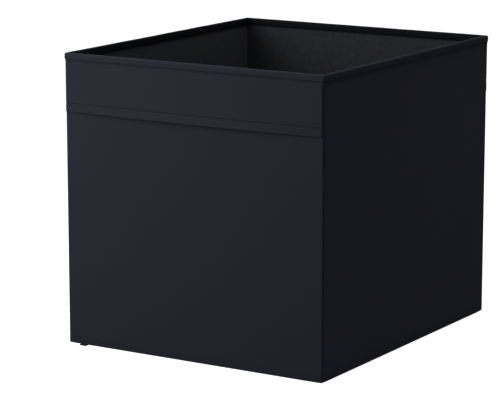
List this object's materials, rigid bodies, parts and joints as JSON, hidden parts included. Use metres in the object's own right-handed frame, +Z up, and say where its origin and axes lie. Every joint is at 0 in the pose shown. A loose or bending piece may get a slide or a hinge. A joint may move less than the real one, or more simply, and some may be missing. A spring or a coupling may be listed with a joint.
{
  "type": "foldable fabric storage box",
  "caption": "Open-topped fabric box with board-stiffened walls, a bound rim and handle bands at both ends; its sides and bottom crease so that it folds flat.",
  "frame": {"origin": "middle of the box's footprint, on the surface that it stands on", "axes": "+X to the right seen from the front, +Y to the back, +Z up; the handle seen in the picture faces -Y"},
  "size_m": [0.333, 0.394, 0.33],
  "materials": {
    "outer_cloth": "matte",
    "binding_tape": "matte",
    "lining_cloth": "matte",
    "wall_board": "matte",
    "bottom_board": "matte",
    "sewing_thread": "satin",
    "hook_tape": "matte",
    "loop_tape": "matte"
  },
  "bodies": {
    "front_wall": {"front_board": "wall_board", "front_cover": "outer_cloth", "front_lining": "lining_cloth", "front_binding": "binding_tape", "front_binding_thread": "sewing_thread", "seam_tab": "outer_cloth"},
    "rear_wall": {"rear_board": "wall_board", "rear_cover": "outer_cloth", "rear_lining": "lining_cloth", "rear_binding": "binding_tape", "rear_binding_thread": "sewing_thread"},
    "front_handle": {"front_handle": "outer_cloth", "front_handle_thread": "sewing_thread"},
    "rear_handle": {"rear_handle": "outer_cloth", "rear_handle_thread": "sewing_thread"},
    "left_front_half": {"left_front_board": "wall_board", "left_front_cover": "outer_cloth", "left_front_lining": "lining_cloth", "left_front_binding": "binding_tape", "left_front_binding_thread": "sewing_thread", "left_front_lip": "outer_cloth", "left_front_loop_tape": "loop_tape"},
    "left_rear_half": {"left_rear_board": "wall_board", "left_rear_cover": "outer_cloth", "left_rear_lining": "lining_cloth", "left_rear_binding": "binding_tape", "left_rear_binding_thread": "sewing_thread", "left_rear_lip": "outer_cloth", "left_rear_loop_tape": "loop_tape"},
    "right_front_half": {"right_front_board": "wall_board", "right_front_cover": "outer_cloth", "right_front_lining": "lining_cloth", "right_front_binding": "binding_tape", "right_front_binding_thread": "sewing_thread", "right_front_lip": "outer_cloth", "right_front_loop_tape": "loop_tape"},
    "right_rear_half": {"right_rear_board": "wall_board", "right_rear_cover": "outer_cloth", "right_rear_lining": "lining_cloth", "right_rear_binding": "binding_tape", "right_rear_binding_thread": "sewing_thread", "right_rear_lip": "outer_cloth", "right_rear_loop_tape": "loop_tape"},
    "bottom_front": {"bottom_front_board": "bottom_board", "bottom_front_cover": "outer_cloth", "bottom_front_lining": "lining_cloth", "bottom_front_left_hook_tape": "hook_tape", "bottom_front_right_hook_tape": "hook_tape"},
    "bottom_rear": {"bottom_rear_board": "bottom_board", "bottom_rear_cover": "outer_cloth", "bottom_rear_lining": "lining_cloth", "bottom_rear_left_hook_tape": "hook_tape", "bottom_rear_right_hook_tape": "hook_tape"}
  },
  "joints": [
    {"name": "left_side_fold", "type": "hinge", "parent": "front_wall", "child": "left_front_half", "pos_m": [-0.1608, -0.1858, 0], "axis": [0, 0, -1], "range_deg": [0, 57]},
    {"name": "left_crease", "type": "hinge", "parent": "left_front_half", "child": "left_rear_half", "pos_m": [-0.165, 0, 0], "axis": [0, 0, 1], "range_deg": [0, 114]},
    {"name": "left_rear_corner", "type": "hinge", "parent": "left_rear_half", "child": "rear_wall", "pos_m": [-0.1608, 0.1858, 0], "axis": [0, 0, -1], "range_deg": [0, 57]},
    {"name": "right_front_corner", "type": "hinge", "parent": "front_wall", "child": "right_front_half", "pos_m": [0.1608, -0.1858, 0], "axis": [0, 0, 1], "range_deg": [0, 57]},
    {"name": "right_crease", "type": "hinge", "parent": "right_front_half", "child": "right_rear_half", "pos_m": [0.165, 0, 0], "axis": [0, 0, -1], "range_deg": [0, 114]},
    {"name": "bottom_front_edge", "type": "hinge", "parent": "front_wall", "child": "bottom_front", "pos_m": [0, -0.1858, 0], "axis": [-1, 0, 0], "range_deg": [0, 57]},
    {"name": "bottom_crease", "type": "hinge", "parent": "bottom_front", "child": "bottom_rear", "pos_m": [0, 0, 0.0042], "axis": [1, 0, 0], "range_deg": [0, 114]},
    {"name": "front_handle_swing", "type": "hinge", "parent": "front_wall", "child": "front_handle", "pos_m": [0, -0.1913, 0.3207], "axis": [-1, 0, 0], "range_deg": [0, 20]},
    {"name": "rear_handle_swing", "type": "hinge", "parent": "rear_wall", "child": "rear_handle", "pos_m": [0, 0.1913, 0.3207], "axis": [1, 0, 0], "range_deg": [0, 20]}
  ],
  "couplings": [
    {"joint": "left_crease", "follows": "left_side_fold", "ratio": 2},
    {"joint": "left_rear_corner", "follows": "left_side_fold", "ratio": 1},
    {"joint": "right_front_corner", "follows": "left_side_fold", "ratio": 1},
    {"joint": "right_crease", "follows": "left_side_fold", "ratio": 2},
    {"joint": "bottom_front_edge", "follows": "left_side_fold", "ratio": 1},
    {"joint": "bottom_crease", "follows": "left_side_fold", "ratio": 2}
  ]
}
